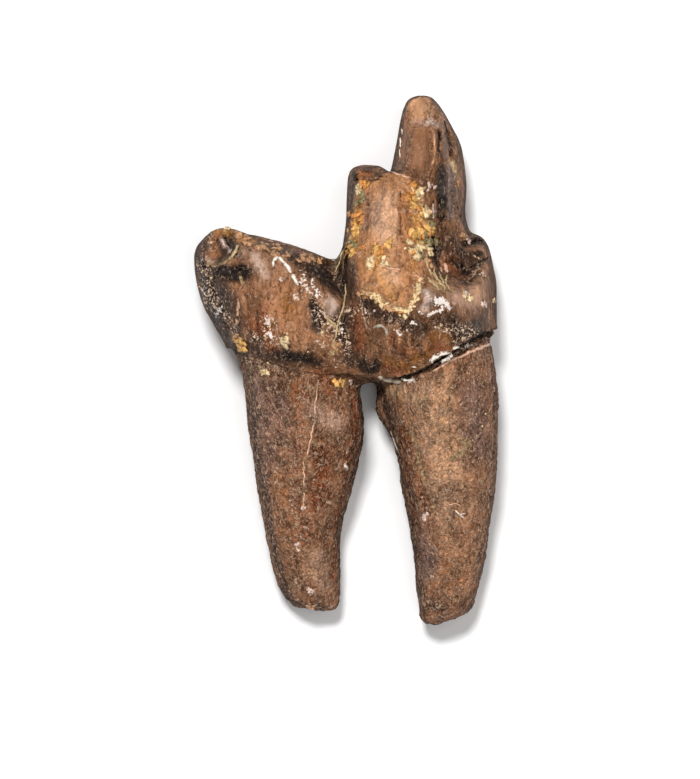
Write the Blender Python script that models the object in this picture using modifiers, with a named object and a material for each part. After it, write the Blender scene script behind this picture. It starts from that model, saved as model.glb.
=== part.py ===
"""Fossil lower molar of a small mammal, lying on its side with the cheek face up.

The crown has a high front part with one tall cusp and one broken cusp, a low heel with a
shallow basin, and a swollen base that overhangs two long tapering roots. Crown and roots are
one piece, and it rests on small flats on the crown's and the roots' backs.

+Y runs from the root tips to the tall cusp, +X from the heel to the front of the tooth, and +Z
from the resting side to the cheek side. Lengths are in millimetres while the tooth is shaped,
because Blender's remesher takes no voxel under a ten-thousandth of its own unit. The finished
mesh is scaled to TOOTH_HEIGHT in metres.
"""

import bpy
import bmesh
import numpy as np
from mathutils import Matrix, Vector, noise
from mathutils.bvhtree import BVHTree

# Height of the whole tooth in metres, root tips to cusp. Everything else keeps its proportion to it.
TOOTH_HEIGHT = 0.0125

# How the forms are meshed
RING_POINTS = 48
RING_STEPS = 6
VOXEL = 0.055
BLEND_PASSES = 14
SETTLE_PASSES = 3
SMOOTH_SHARE = 0.5
TRIANGLES = 9200

# How far apart the points of a route laid on the skin are, and over what turn away from the
# viewer a press fades out
ROUTE_STEP = 0.05
FACING_FADE = 0.3

# Each ring of a form: height y, left x, right x, back z, front z
HEEL = [
    (3.16, -3.02, -2.66, 2.40, 3.00),
    (2.96, -3.28, -2.20, 1.50, 3.36),
    (2.72, -3.48, -1.50, 0.75, 3.62),
    (2.42, -3.57, -0.40, 0.36, 3.84),
    (1.75, -3.47, 0.70, 0.10, 4.06),
    (1.15, -3.24, 0.80, -0.06, 4.16),
    (0.60, -2.90, 0.80, -0.04, 4.12),
    (0.15, -2.62, 0.70, 0.20, 3.96),
    (-0.35, -2.40, 0.50, 0.50, 3.60),
]
BROKEN_CUSP = [
    (4.40, 0.62, 1.80, 2.40, 3.20),
    (4.22, 0.30, 1.92, 2.00, 3.44),
    (3.80, 0.12, 2.00, 1.70, 3.64),
    (3.30, 0.06, 2.08, 1.50, 3.84),
    (2.80, -0.02, 2.14, 1.30, 4.02),
    (2.30, -0.22, 2.20, 1.20, 4.20),
    (1.60, -0.36, 2.40, 1.20, 4.42),
    (0.60, -0.36, 2.40, 1.20, 4.40),
]
STUB_CUSP = [
    (4.62, 0.30, 0.70, 2.35, 2.74),
    (4.52, 0.14, 0.92, 2.12, 2.92),
    (4.24, 0.06, 1.10, 1.90, 3.10),
    (3.60, 0.04, 1.40, 1.60, 3.30),
    (2.80, -0.04, 1.60, 1.10, 3.40),
    (2.20, -0.30, 1.60, 0.60, 3.60),
    (1.40, -0.40, 1.60, 0.20, 3.80),
]
TALL_CUSP = [
    (6.25, 1.68, 1.92, 1.70, 2.10),
    (6.16, 1.50, 2.08, 1.50, 2.34),
    (5.92, 1.38, 2.26, 1.28, 2.56),
    (5.60, 1.31, 2.48, 1.08, 2.76),
    (5.10, 1.24, 2.74, 0.82, 2.96),
    (4.55, 1.10, 2.84, 0.60, 3.10),
    (4.00, 0.90, 2.86, 0.42, 3.20),
    (3.40, 0.72, 2.84, 0.26, 3.26),
    (2.80, 0.56, 3.04, 0.14, 3.34),
    (2.30, 0.40, 3.34, 0.06, 3.46),
    (1.50, 0.20, 3.40, 0.00, 3.60),
]
FRONT_SHELF = [
    (3.00, 2.74, 3.12, 0.90, 1.90),
    (2.84, 2.62, 3.32, 0.60, 2.50),
    (2.30, 2.40, 3.47, 0.35, 3.10),
    (1.75, 2.00, 3.55, 0.15, 3.75),
    (1.20, 1.50, 3.52, 0.05, 4.10),
    (0.80, 1.20, 3.42, 0.05, 4.10),
    (0.55, 1.20, 3.20, 0.15, 3.90),
]
HEEL_SADDLE = [
    (2.36, -0.90, 0.30, 2.40, 3.20),
    (2.10, -1.20, 0.40, 1.90, 3.50),
    (1.40, -1.20, 0.40, 1.60, 3.70),
]
CROWN_BASE = [
    (2.10, 0.20, 3.10, 0.10, 3.70),
    (1.75, -0.10, 3.40, 0.00, 4.30),
    (1.25, -0.25, 3.50, -0.10, 4.64),
    (0.80, -0.25, 3.44, -0.12, 4.72),
    (0.35, -0.05, 3.30, 0.02, 4.60),
    (0.00, 0.20, 3.00, 0.24, 4.28),
    (-0.35, 0.45, 2.60, 0.50, 3.84),
]
CROWN_WAIST = [
    (1.80, -1.50, 1.80, 0.60, 3.98),
    (1.20, -1.60, 1.80, 0.40, 4.24),
    (0.50, -1.50, 1.80, 0.40, 4.30),
    (0.00, -1.10, 1.60, 0.60, 4.12),
    (-0.38, -0.40, 1.30, 0.90, 3.72),
    (-0.56, 0.34, 0.86, 1.40, 3.10),
]
LEFT_ROOT = [
    (0.90, -2.30, 0.40, 0.35, 3.70),
    (0.00, -2.44, 0.42, 0.32, 3.76),
    (-0.60, -2.39, 0.37, 0.30, 3.70),
    (-1.66, -2.24, 0.44, 0.20, 3.50),
    (-2.80, -2.10, 0.20, 0.08, 3.14),
    (-3.90, -1.89, -0.08, -0.02, 2.70),
    (-4.70, -1.72, -0.14, -0.06, 2.36),
    (-5.25, -1.58, -0.13, -0.04, 2.10),
    (-5.60, -1.38, -0.12, 0.12, 1.86),
    (-5.84, -1.04, -0.15, 0.40, 1.60),
    (-5.92, -0.74, -0.24, 0.66, 1.34),
]
RIGHT_ROOT = [
    (1.00, 1.20, 3.40, 0.40, 3.80),
    (0.50, 0.95, 3.48, 0.34, 3.94),
    (-0.20, 0.76, 3.54, 0.30, 4.00),
    (-0.80, 0.86, 3.57, 0.26, 3.92),
    (-1.66, 1.08, 3.58, 0.18, 3.70),
    (-2.80, 1.33, 3.56, 0.06, 3.28),
    (-3.90, 1.52, 3.40, -0.02, 2.86),
    (-4.80, 1.65, 3.24, -0.06, 2.52),
    (-5.50, 1.70, 3.09, -0.04, 2.26),
    (-5.90, 1.75, 2.95, 0.14, 2.00),
    (-6.12, 1.80, 2.50, 0.45, 1.70),
    (-6.24, 1.88, 2.04, 0.80, 1.40),
]
ROOT_SPUR = [
    (0.00, 0.80, 1.80, 0.80, 2.60),
    (-0.80, 0.72, 1.80, 0.70, 2.50),
    (-1.30, 0.78, 1.80, 0.62, 2.40),
    (-1.75, 1.06, 1.80, 0.60, 2.20),
]
# Each form with how square its rings are: 2 is an ellipse, and more is squarer
FORMS = [
    (HEEL, 2.7),
    (HEEL_SADDLE, 2.7),
    (BROKEN_CUSP, 2.4),
    (STUB_CUSP, 2.3),
    (TALL_CUSP, 2.3),
    (FRONT_SHELF, 2.3),
    (CROWN_BASE, 2.3),
    (CROWN_WAIST, 2.3),
    (LEFT_ROOT, 2.6),
    (RIGHT_ROOT, 2.6),
    (ROOT_SPUR, 2.3),
]

# Hollows pressed into the skin. Each is the side that its route is seen from, the route, its
# half width, and its depth at the start and at the end. A route seen from the bite or the tips
# holds x and z, the others x and y.
HOLLOWS = [
    # The deep groove between heel and broken cusp, fading down the crown
    ("cheek", [(-0.30, 2.20), (-0.12, 1.85), (0.02, 1.30), (0.08, 0.50)], 0.30, 0.46, 0.08),
    # The valley between broken cusp and tall cusp, and on down to the shelf
    ("cheek", [(2.04, 4.20), (2.14, 3.60), (2.26, 2.80), (2.36, 2.00)], 0.20, 0.16, 0.32),
    # The tall cusp's hollow front flank
    ("cheek", [(2.32, 5.40), (2.34, 4.80), (2.32, 4.20), (2.34, 3.40)], 0.20, 0.12, 0.26),
    # The pit above the front shelf
    ("cheek", [(2.70, 2.90), (2.84, 2.45), (2.76, 2.02)], 0.30, 0.14, 0.28),
    # The stub cusp's sunken top
    ("bite", [(0.34, 2.62), (0.62, 2.66)], 0.16, 0.10, 0.12),
    # The heel's basin
    ("bite", [(-2.40, 2.05), (-1.60, 1.98), (-0.80, 1.95), (-0.30, 1.95)], 0.62, 0.46, 0.56),
    # The resting side: groove under the heel and furrows beside the tall cusp
    ("tongue", [(-0.10, 2.60), (-0.05, 1.80), (0.10, 0.90), (0.40, 0.10)], 0.34, 0.44, 0.12),
    ("tongue", [(1.10, 4.60), (1.10, 3.60), (1.20, 2.60), (1.30, 1.90)], 0.28, 0.28, 0.08),
    ("tongue", [(2.56, 3.60), (2.64, 2.60), (2.74, 1.90)], 0.24, 0.18, 0.06),
    # Long shallow furrows down the roots
    ("tongue", [(-1.00, -0.60), (-0.95, -2.20), (-0.85, -3.90)], 0.28, 0.14, 0.05),
    ("tongue", [(2.20, -0.60), (2.35, -2.20), (2.40, -3.90)], 0.30, 0.16, 0.05),
    ("cheek", [(-1.60, -0.70), (-1.50, -2.20), (-1.20, -4.60)], 0.22, 0.05, 0.04),
    ("cheek", [(2.40, -0.60), (2.48, -2.20), (2.44, -4.60)], 0.24, 0.05, 0.04),
    # The crack under the enamel's edge at the front of the tooth
    ("cheek", [(0.75, -0.52), (1.28, -0.51), (1.75, -0.32), (2.22, -0.08), (2.69, 0.18), (3.40, 0.52)],
     0.08, 0.05, 0.12),
    # The canals left open at the broken root tips
    ("tips", [(-0.90, 1.00), (-0.62, 1.02)], 0.17, 0.16, 0.20),
    ("tips", [(2.22, 1.10), (2.46, 1.12)], 0.17, 0.20, 0.14),
]

# Ridges raised in the same way, with their height at the start and at the end
RIDGES = [
    # The keen edge between the tall cusp's worn face and its hollow flank
    ("cheek", [(2.00, 5.60), (2.05, 5.10), (2.04, 4.60), (1.92, 4.20)], 0.09, 0.07, 0.05),
    # The rib on the far side of that flank, running down to the shelf
    ("cheek", [(2.58, 4.90), (2.60, 4.20), (2.64, 3.40), (2.86, 2.80)], 0.12, 0.05, 0.08),
    # The shelf's rolled edge
    ("cheek", [(3.30, 2.70), (3.34, 2.10), (3.06, 1.66), (2.46, 1.50)], 0.17, 0.10, 0.13),
    # The heel's rims, in front of and behind its basin
    ("bite", [(-2.40, 3.10), (-1.70, 3.10), (-0.90, 3.10), (-0.30, 3.00)], 0.30, 0.06, 0.06),
    ("bite", [(-2.90, 1.40), (-2.00, 1.00), (-1.00, 0.96), (-0.20, 1.10)], 0.30, 0.22, 0.12),
    # The heel's front cusp
    ("cheek", [(-2.70, 2.60), (-1.90, 1.90), (-1.30, 1.20)], 0.50, 0.10, 0.04),
    # The edges where the roots' cheek faces turn towards each other
    ("cheek", [(0.06, -0.70), (0.10, -1.90), (-0.16, -3.60), (-0.40, -5.00)], 0.15, 0.07, 0.04),
    ("cheek", [(1.20, -0.80), (1.46, -2.20), (1.74, -3.60), (1.96, -5.00)], 0.15, 0.07, 0.04),
]

# Worn or broken faces planed off: a point in the face, the way it looks, and how far it reaches
PLANED_FACES = [
    ((-3.06, 2.70, 3.14), (-0.42, 0.42, 0.80), 0.50),
    ((1.72, 5.86, 2.42), (-0.16, 0.34, 0.92), 0.34),
    ((0.46, 4.52, 2.80), (0.05, 0.74, 0.67), 0.30),
    ((-1.16, -5.78, 1.10), (-0.60, -0.78, 0.16), 0.36),
    ((2.66, -6.10, 1.40), (0.50, -0.84, 0.20), 0.36),
]

# The enamel's lower edge seen from the cheek side, as x and y, and how far it stands out at the
# left and the right. It gains height over the given distance from the given x.
ENAMEL_EDGE = [
    (-3.60, 0.60), (-2.40, 0.20), (-1.77, -0.04), (-1.07, -0.26), (-0.36, -0.32), (0.10, -0.30),
    (0.46, -0.42), (0.82, -0.50), (1.28, -0.46), (1.75, -0.26), (2.22, -0.02), (2.69, 0.24),
    (3.16, 0.44), (3.60, 0.62),
]
ENAMEL_STEP_LEFT = 0.08
ENAMEL_STEP_RIGHT = 0.20
ENAMEL_GAIN_FROM = 0.30
ENAMEL_GAIN_OVER = 1.20
ENAMEL_STEP_WIDTH = 0.10
ENAMEL_STEP_REACH = 0.55

# The broken face of the cheek-side cusp, seen from the cheek side. It is sunk only above the
# given z and where the skin tilts towards the viewer by more than the given share.
BROKEN_FACE = [
    (0.60, 4.34), (0.30, 4.02), (0.26, 3.30), (0.16, 2.60), (0.24, 2.05), (0.42, 1.80),
    (0.75, 1.66), (1.05, 1.36), (1.45, 1.24), (1.85, 1.42), (2.02, 1.85), (2.06, 2.60),
    (2.02, 3.30), (1.86, 3.95), (1.66, 4.40),
]
BROKEN_DEPTH = 0.12
BROKEN_EDGE = 0.09
BROKEN_ABOVE = 2.6
BROKEN_TILT = 0.1

# The uneven growth of the whole surface: size of its swells, their height, and the same for the
# roots' finer lumps, which are drawn out along the roots and start below the crown
SWELL_SIZE = 1.1
SWELL_HEIGHT = 0.05
LUMP_SIZE = 0.34
LUMP_HEIGHT = 0.028
LUMP_LENGTH = 2.5
LUMPS_BELOW = 0.32
LUMPS_FADE = 0.8

COLOUR = (0.20, 0.105, 0.055, 1)
ROUGHNESS = 0.5


def clear_scene():
    for item in list(bpy.data.objects):
        bpy.data.objects.remove(item, do_unlink=True)


def between(rings, steps):
    """Rings on one smooth curve through the given ones, with this many steps from each to the next."""
    known = np.array(rings, float)
    padded = np.vstack([2 * known[0] - known[1], known, 2 * known[-1] - known[-2]])
    made = []
    for start in range(len(known) - 1):
        before, here, there, after = padded[start:start + 4]
        for step in range(steps):
            t = step / steps
            made.append(
                0.5 * (2 * here + (there - before) * t
                       + (2 * before - 5 * here + 4 * there - after) * t ** 2
                       + (3 * here - before - 3 * there + after) * t ** 3)
            )
    made.append(known[-1])
    return made


def add_loft(target, rings, corner):
    """A closed form through flattened rings, each a superellipse."""
    angles = np.linspace(0, 2 * np.pi, RING_POINTS, endpoint=False)
    across = np.sign(np.cos(angles)) * np.abs(np.cos(angles)) ** (2 / corner)
    deep = np.sign(np.sin(angles)) * np.abs(np.sin(angles)) ** (2 / corner)
    loops = []
    for y, left, right, back, front in between(rings, RING_STEPS):
        xs = (left + right) / 2 + across * (right - left) / 2
        zs = (back + front) / 2 + deep * (front - back) / 2
        loops.append([target.verts.new((x, y, z)) for x, z in zip(xs, zs)])
    for upper, lower in zip(loops, loops[1:]):
        for here in range(RING_POINTS):
            after = (here + 1) % RING_POINTS
            target.faces.new((upper[here], lower[here], lower[after], upper[after]))
    target.faces.new(loops[0])
    target.faces.new(loops[-1][::-1])


def new_object(name, mesh):
    made = bpy.data.objects.new(name, mesh)
    bpy.context.scene.collection.objects.link(made)
    return made


def evaluated_mesh(source):
    """The object's mesh with its modifiers applied. The object itself is removed."""
    graph = bpy.context.evaluated_depsgraph_get()
    mesh = bpy.data.meshes.new_from_object(source.evaluated_get(graph))
    bpy.data.objects.remove(source)
    return mesh


def rough_tooth():
    """All the forms joined into one skin, with the hollows between them softened."""
    forms = bmesh.new()
    for rings, corner in FORMS:
        add_loft(forms, rings, corner)
    bmesh.ops.recalc_face_normals(forms, faces=forms.faces)
    mesh = bpy.data.meshes.new("forms")
    forms.to_mesh(mesh)
    forms.free()
    joined = new_object("forms", mesh)
    remesh = joined.modifiers.new("one skin", "REMESH")
    remesh.mode = "VOXEL"
    remesh.voxel_size = VOXEL
    smooth = joined.modifiers.new("soften", "SMOOTH")
    smooth.factor = SMOOTH_SHARE
    smooth.iterations = BLEND_PASSES
    return evaluated_mesh(joined)


def smoothly(share):
    """0 below 0, 1 above 1, and an even S between."""
    share = np.clip(share, 0, 1)
    return share * share * (3 - 2 * share)


class Skin:
    """The tooth's surface while it is carved."""

    # The two axes that a route's points are given in, and the way that one looks at the tooth
    VIEWS = {
        "cheek": ((0, 1), (0, 0, -1)),
        "tongue": ((0, 1), (0, 0, 1)),
        "bite": ((0, 2), (0, -1, 0)),
        "tips": ((0, 2), (0, 1, 0)),
    }
    FAR = 20.0

    def __init__(self, mesh):
        self.mesh = mesh
        self.points = np.empty((len(mesh.vertices), 3))
        self.normals = np.empty((len(mesh.vertices), 3))
        self.read()

    def read(self):
        flat = np.empty(self.points.size, np.float32)
        self.mesh.vertices.foreach_get("co", flat)
        self.points[:] = flat.reshape(-1, 3)
        self.mesh.vertex_normals.foreach_get("vector", flat)
        self.normals[:] = flat.reshape(-1, 3)
        self.tree = None

    def move(self, by):
        self.mesh.vertices.foreach_set("co", (self.points + by).astype(np.float32).ravel())
        self.mesh.update()
        self.read()

    def rise(self, amount):
        """Moves each vertex outward by its own amount."""
        self.move(self.normals * np.asarray(amount)[:, None])

    def laid(self, route, view):
        """The route's points where a look from that side first meets the skin, close together."""
        if self.tree is None:
            faces = [tuple(face.vertices) for face in self.mesh.polygons]
            self.tree = BVHTree.FromPolygons(self.points.tolist(), faces)
        axes, way = self.VIEWS[view]
        known = np.array(route)
        lengths = np.append(0, np.cumsum(np.linalg.norm(np.diff(known, axis=0), axis=1)))
        spots = np.linspace(0, lengths[-1], max(2, int(lengths[-1] / ROUTE_STEP)))
        found = []
        for spot in spots:
            start = Vector(way) * -self.FAR
            for axis, values in zip(axes, known.T):
                start[axis] = np.interp(spot, lengths, values)
            hit = self.tree.ray_cast(start, Vector(way))[0]
            if hit is not None:
                found.append((*hit, spot / lengths[-1]))
        return np.array(found)

    def near(self, route, view):
        """Each vertex's distance to a route laid on the skin, and how far along it is, from 0 to 1."""
        line = self.laid(route, view)
        best = np.full(len(self.points), np.inf)
        along = np.zeros(len(self.points))
        for x, y, z, share in line:
            distance = np.linalg.norm(self.points - (x, y, z), axis=1)
            closer = distance < best
            best[closer] = distance[closer]
            along[closer] = share
        return best, along

    def press(self, view, route, width, start, end):
        """Presses the skin in along a route, straight away from the viewer.

        A depth below 0 raises it.
        """
        distance, along = self.near(route, view)
        way = np.array(self.VIEWS[view][1])
        facing = smoothly(-(self.normals @ way) / FACING_FADE)
        depth = (start + (end - start) * along) * np.exp(-(distance / width) ** 2)
        self.move(np.outer(depth * facing, way))

    def plane(self, centre, way, reach):
        """Planes the skin flat around a centre."""
        way = np.array(way) / np.linalg.norm(way)
        offset = self.points - centre
        above = np.clip(offset @ way, 0, None)
        share = 1 - smoothly(np.linalg.norm(offset, axis=1) / reach - 1)
        self.move(-way * (above * share)[:, None])


def inside(outline, xs, ys):
    """How far each point lies inside a closed outline, below 0 outside it."""
    corners = np.array(outline)
    following = np.roll(corners, -1, axis=0)
    nearest = np.full(len(xs), np.inf)
    within = np.zeros(len(xs), bool)
    for (x0, y0), (x1, y1) in zip(corners, following):
        along = np.clip(((xs - x0) * (x1 - x0) + (ys - y0) * (y1 - y0))
                        / ((x1 - x0) ** 2 + (y1 - y0) ** 2), 0, 1)
        off_x = xs - x0 - along * (x1 - x0)
        off_y = ys - y0 - along * (y1 - y0)
        nearest = np.minimum(nearest, np.hypot(off_x, off_y))
        if y0 != y1:
            crosses = (y0 > ys) != (y1 > ys)
            within ^= crosses & (xs < x0 + (ys - y0) * (x1 - x0) / (y1 - y0))
    return np.where(within, nearest, -nearest)


def step_enamel(skin):
    """Lets the enamel stand proud of the roots along its lower edge, more on the right."""
    xs, ys = np.array(ENAMEL_EDGE).T
    above = skin.points[:, 1] - np.interp(skin.points[:, 0], xs, ys)
    right = smoothly((skin.points[:, 0] - ENAMEL_GAIN_FROM) / ENAMEL_GAIN_OVER)
    height = ENAMEL_STEP_LEFT + (ENAMEL_STEP_RIGHT - ENAMEL_STEP_LEFT) * right
    fade = np.exp(-np.abs(above) / ENAMEL_STEP_REACH)
    skin.rise(height * fade * (smoothly(above / ENAMEL_STEP_WIDTH + 0.5) - 0.5))


def break_cusp(skin):
    """Sinks the broken face of the cheek-side cusp under the enamel round it."""
    depth = inside(BROKEN_FACE, skin.points[:, 0], skin.points[:, 1])
    facing = smoothly((skin.normals[:, 2] - BROKEN_TILT) / FACING_FADE)
    upper = skin.points[:, 2] > BROKEN_ABOVE
    sunk = BROKEN_DEPTH * smoothly(depth / BROKEN_EDGE + 0.5) * facing * upper
    skin.move(np.outer(-sunk, (0, 0, 1)))


def grow_unevenly(skin):
    """Swells all over, and finer lumps on the roots, stretched along them."""
    swells = np.array([noise.noise(Vector(place) / SWELL_SIZE) for place in skin.points])
    stretch = Vector((1, 1 / LUMP_LENGTH, 1)) / LUMP_SIZE
    lumps = np.array([noise.noise(Vector(place) * stretch) for place in skin.points])
    rooted = 1 - smoothly((skin.points[:, 1] - LUMPS_BELOW) / LUMPS_FADE + 1)
    skin.rise(SWELL_HEIGHT * swells + LUMP_HEIGHT * lumps * rooted)


def carve(mesh):
    skin = Skin(mesh)
    grow_unevenly(skin)
    for hollow in HOLLOWS:
        skin.press(*hollow)
    for view, route, width, start, end in RIDGES:
        skin.press(view, route, width, -start, -end)
    for face in PLANED_FACES:
        skin.plane(*face)
    step_enamel(skin)
    break_cusp(skin)


def lightened(mesh):
    """The carved skin settled a little and brought down to few triangles."""
    carved = new_object("carved", mesh)
    settle = carved.modifiers.new("settle", "SMOOTH")
    settle.factor = SMOOTH_SHARE
    settle.iterations = SETTLE_PASSES
    fewer = carved.modifiers.new("fewer triangles", "DECIMATE")
    fewer.ratio = TRIANGLES / (2 * len(mesh.polygons))
    return evaluated_mesh(carved)


def laid_down(mesh):
    """Cuts the resting flats, and brings the tooth to its size with its origin below its middle."""
    cut = bmesh.new()
    cut.from_mesh(mesh)
    parts = list(cut.verts) + list(cut.edges) + list(cut.faces)
    made = bmesh.ops.bisect_plane(
        cut, geom=parts, plane_co=(0, 0, 0), plane_no=(0, 0, -1), clear_outer=True
    )
    edges = [part for part in made["geom_cut"] if isinstance(part, bmesh.types.BMEdge)]
    bmesh.ops.holes_fill(cut, edges=edges)
    bmesh.ops.triangulate(cut, faces=cut.faces)
    places = np.array([vertex.co for vertex in cut.verts])
    low, high = places.min(0), places.max(0)
    size = TOOTH_HEIGHT / (high[1] - low[1])
    middle = Vector((-(low[0] + high[0]) / 2, -(low[1] + high[1]) / 2, 0))
    cut.transform(Matrix.Scale(size, 4) @ Matrix.Translation(middle))
    cut.to_mesh(mesh)
    cut.free()


def fossil_material():
    made = bpy.data.materials.new("fossil")
    made.use_nodes = True
    shader = made.node_tree.nodes["Principled BSDF"]
    shader.inputs["Base Color"].default_value = COLOUR
    shader.inputs["Roughness"].default_value = ROUGHNESS
    shader.inputs["Metallic"].default_value = 0
    return made


def main():
    clear_scene()
    mesh = rough_tooth()
    carve(mesh)
    mesh = lightened(mesh)
    laid_down(mesh)
    mesh.name = "molar"
    mesh.materials.append(fossil_material())
    molar = bpy.data.objects.new("molar", mesh)
    fossil = bpy.data.collections.new("fossil_molar")
    bpy.context.scene.collection.children.link(fossil)
    fossil.objects.link(molar)


main()
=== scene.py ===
"""Looks of the fossil molar: its fine skin, the dirt stuck to it, the floor, the lights and the camera.

Places on the tooth are in millimetres in the part's frame: +X from the heel to the front, +Y from the
root tips to the tall cusp, and +Z up to the cheek side, which the camera looks down on.
"""

import random
from math import cos, pi, sin

import bmesh
import bpy
import numpy as np
from mathutils import Matrix, Vector, noise
from mathutils.bvhtree import BVHTree


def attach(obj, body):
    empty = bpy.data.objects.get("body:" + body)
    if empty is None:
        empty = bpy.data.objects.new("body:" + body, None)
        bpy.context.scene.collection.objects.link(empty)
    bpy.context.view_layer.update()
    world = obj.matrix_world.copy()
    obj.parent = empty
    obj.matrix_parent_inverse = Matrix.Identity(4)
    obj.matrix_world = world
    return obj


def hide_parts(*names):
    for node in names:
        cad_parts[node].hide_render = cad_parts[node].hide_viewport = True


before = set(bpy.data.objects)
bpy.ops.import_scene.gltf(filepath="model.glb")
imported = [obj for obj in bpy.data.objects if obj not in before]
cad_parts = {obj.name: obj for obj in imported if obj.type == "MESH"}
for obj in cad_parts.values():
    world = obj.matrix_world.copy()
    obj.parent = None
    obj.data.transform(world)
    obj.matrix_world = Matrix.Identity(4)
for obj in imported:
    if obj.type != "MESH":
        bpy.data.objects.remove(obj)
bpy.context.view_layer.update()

MM = 0.001
# The routes, widths, depths and lumps in the tables are in hundredths of a millimetre
UNIT = 0.01
TOOTH = "molar"

# How finely the skin is meshed, and how many triangles it keeps when it is carved
SKIN_VOXEL = 0.036
SKIN_TRIANGLES = 190000
SKIN_SMOOTHING = 8
SMOOTH_FACTOR = 0.5
WELD_DISTANCE = 1e-4

# How far a stroke reaches, in half widths, and how far its edge wanders, in millimetres
CARVE_REACH = 3
MARK_REACH, MARK_SWAY = 2.4, 0.04
WASH_REACH, WASH_SWAY = 2.2, 0.07

# The tooth's half height as it lies
MIDDLE_LEVEL = 2.4

# The way along Z that one looks at each side of the tooth
SIDES = {"cheek": -1, "tongue": 1}


def dots(text):
    """Points whose numbers are joined by commas."""
    return [tuple(float(number) for number in point.split(",")) for point in text.split()]


def path(text):
    """The points of a route that is written as its first point and the step from each to the next."""
    return np.cumsum(dots(text), axis=0)


def table(text):
    """A table's rows: their words and numbers, and last their route. A line with # is a remark."""
    rows = []
    for line in text.strip().splitlines():
        if "#" not in line:
            values = [cell for cell in line.split() if "," not in cell]
            steps = line.split()[len(values):]
            values = [cell if cell.isalpha() else float(cell) for cell in values]
            rows.append((*values, path(" ".join(steps))))
    return rows


# The enamel's lower rim, from the heel to the front
ENAMEL_RIM = path("""
-370,64 130,-44 63,-24 70,-22 71,-6 50,-2 31,-4 35,-2 35,1 33,8 31,15 26,14 35,22 26,18 26,14 26,12
52,20
""")

# The broken face of the cheek-side cusp
BROKEN_FACE = path("""
90,436 -32,-20 -20,-20 -12,-36 -2,-40 -10,-40 0,-22 16,-22 4,-46 2,-32 26,-2 12,-12 16,-18 22,-8
18,-6 16,2 12,20 8,26 8,26 12,34 12,40 4,40 -2,40 -14,32 -12,28 -20,26 -30,12
""")

# Carved lines on each side: half width, depth at the start and at the end, and route. Below 0 is a ridge.
CARVINGS = {
    "cheek": table("""
# The crack between enamel and root, and the lip of the root below it
6.5 10 22 92,-44 35,2 28,7 29,13 28,15 28,17 28,17 29,16 28,13 27,10
6 -3 -5 205,-26 35,24 26,12 39,16 39,16
# The tall cusp's keen edge, its flutes and its rib
3.5 -7 -5 205,534 4,-22 0,-22 -2,-20 -9,-23 -4,-13
14 5 3 180,528 2,-38 -8,-40
5.5 11 10 218,540 2,-24 0,-22
4 8 6 232,560 7,-27 4,-28 2,-23
6 -5 -5 246,547 9,-23 5,-24 0,-20
20 10 4 220,454 3,-44 4,-50 0,-50 -7,-50
8 -4 -5 238,460 4,-59 0,-58 0,-48
3.5 6 6 259,370 7,-23 7,-21 19,-28
3.5 14 14 207,374 0,-6
# The stub cusp's facet: its rim and the line below it
3.5 -5 -4 19,436 14,11 19,1 19,-9 9,-11
3.5 7 5 24,424 24,2 32,-2
# The worn tip's rim
5 3 3 152,566 20,-14 23,0 15,18
# Folds and ribs of the front shelf
3.5 8 6 286,180 17,20 11,12
4.5 12 9 294,218 16,12 24,12
4 -5 -5 290,200 20,14 26,12
4 -6 -6 292,240 16,12 16,6
10 30 22 280,276 20,4 16,4
4 -5 -4 254,250 20,-20 20,-8
5 -6 -5 210,320 10,-36 8,-24 5,-18
10 22 18 204,290 6,-40 10,-30
16 10 12 250,270 16,-34 14,-31
# The base's bright ledge, and the lavender boss above it
5 -6 -5 174,106 16,-6 15,12 21,8 20,6
13 -6 -5 184,158 8,-28
7 7 5 196,94 24,6 32,-8
2.5 4 4 280,142 3,-32
# The bulges under the broken face, drop-shaped
7 -5 -3 98,50 2,-42
7 -5 -3 124,58 0,-38
6 -5 -3 150,48 2,-32
7 -4 -3 182,50 2,-30
4 4 3 112,52 0,-38
4 4 3 138,52 0,-38
5 5 3 166,60 2,-50
# The deep of the groove between heel and broken cusp
14 45 12 2,256 -2,-36 -3,-40 0,-40
22 16 10 -50,220 20,-30 16,-30
# The heel's worn facet: its rim, its scratch and the black hollow
5 -6 -5 -327,230 16,-12 19,9 19,12 10,16 9,15
13 8 6 -310,278 8,-22 2,-16
5 12 10 -287,293 10,-19 10,-19
7 8 6 -298,213 38,7 34,-7
6 6 5 -288,202 18,-15 22,-9 18,9
5 5 3 -330,210 10,-30 18,-38
# Cracks down the roots
2.8 -2 -2 -68,-66 -4,-51 -5,-43 -7,-40 -15,-41 0,-39 -1,-44 -1,-26
2.6 5 3 243,-86 -1,-56 4,-58 4,-74 3,-64 -2,-68
# The broken face: its step down the middle, its flat right side and its smooth core
5 7 5 128,396 0,-46 0,-50
5 -5 -4 116,386 1,-56 0,-60
6 7 5 52,390 -2,-40 2,-40
10 4 4 144,390 2,-60 -4,-50
"""),
    "tongue": table("""
3 5 3 -110,-50 6,-110 -8,-100 10,-120
3 5 3 220,-40 10,-110 -4,-120 12,-130
"""),
}
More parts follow.
